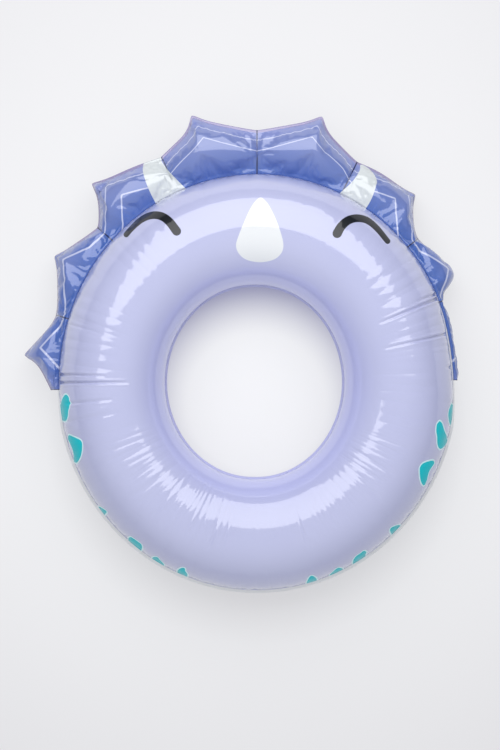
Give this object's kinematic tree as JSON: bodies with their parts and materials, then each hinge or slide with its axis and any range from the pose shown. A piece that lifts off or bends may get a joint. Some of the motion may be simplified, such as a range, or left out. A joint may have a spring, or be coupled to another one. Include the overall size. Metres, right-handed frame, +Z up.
{
  "type": "swim ring",
  "caption": "Inflatable swim ring: an oval air tube with a pointed, inflated frill along its outer seam, and push-in air valves with plugs on straps underneath.",
  "frame": {"origin": "on the floor, under the middle of the outline's bounding box", "axes": "+Z up; +Y towards the frill, along the ring's longer side; +X to the right, seen from above with the frill away from the viewer"},
  "size_m": [0.7372, 0.7936, 0.1848],
  "materials": {
    "lavender_film": "glossy PVC film",
    "periwinkle_film": "glossy PVC film",
    "valve_clear": "satin moulded PVC",
    "valve_plug": "satin moulded PVC"
  },
  "bodies": {
    "ring": {"ring_top_sheet": "lavender_film", "ring_bottom_sheet": "lavender_film", "frill_front_sheet": "periwinkle_film", "frill_back_sheet": "periwinkle_film", "main_valve_flange": "valve_clear", "main_valve_web": "valve_clear", "frill_valve_flange": "valve_clear", "frill_valve_web": "valve_clear"},
    "main_valve_mouth": {"main_valve_stem": "valve_clear", "main_valve_strap_base": "valve_plug"},
    "main_valve_stopper": {"main_valve_plug": "valve_plug", "main_valve_strap_end": "valve_plug"},
    "main_valve_flap": {"main_valve_check_flap": "valve_clear"},
    "frill_valve_mouth": {"frill_valve_stem": "valve_clear", "frill_valve_strap_base": "valve_plug"},
    "frill_valve_stopper": {"frill_valve_plug": "valve_plug", "frill_valve_strap_end": "valve_plug"},
    "frill_valve_flap": {"frill_valve_check_flap": "valve_clear"}
  },
  "joints": [
    {"name": "main_valve_push", "type": "slide", "parent": "ring", "child": "main_valve_mouth", "axis": [0, -0.8192, -0.5736], "range_m": [0, 0.009], "deforming": ["main_valve_web"]},
    {"name": "main_valve_plug_swing", "type": "hinge", "parent": "main_valve_mouth", "child": "main_valve_stopper", "pos_m": [0.03827, -0.37667, 0.03924], "axis": [0, -0.5736, 0.8192], "range_deg": [0, 150]},
    {"name": "main_valve_flap_open", "type": "hinge", "parent": "main_valve_mouth", "child": "main_valve_flap", "pos_m": [0.01787, -0.36627, 0.04652], "axis": [0, -0.5736, 0.8192], "range_deg": [0, 60], "stiffness_Nm_per_rad": 0.0002},
    {"name": "frill_valve_push", "type": "slide", "parent": "ring", "child": "frill_valve_mouth", "axis": [0.1834, -0.0095, -0.983], "range_m": [0, 0.009], "deforming": ["frill_valve_web"]},
    {"name": "frill_valve_plug_swing", "type": "hinge", "parent": "frill_valve_mouth", "child": "frill_valve_stopper", "pos_m": [-0.05971, 0.332, 0.06497], "axis": [-0.0787, 0.9966, -0.0243], "range_deg": [0, 150]},
    {"name": "frill_valve_flap_open", "type": "hinge", "parent": "frill_valve_mouth", "child": "frill_valve_flap", "pos_m": [-0.04205, 0.33379, 0.08116], "axis": [-0.0787, 0.9966, -0.0243], "range_deg": [0, 60], "stiffness_Nm_per_rad": 0.0002}
  ]
}
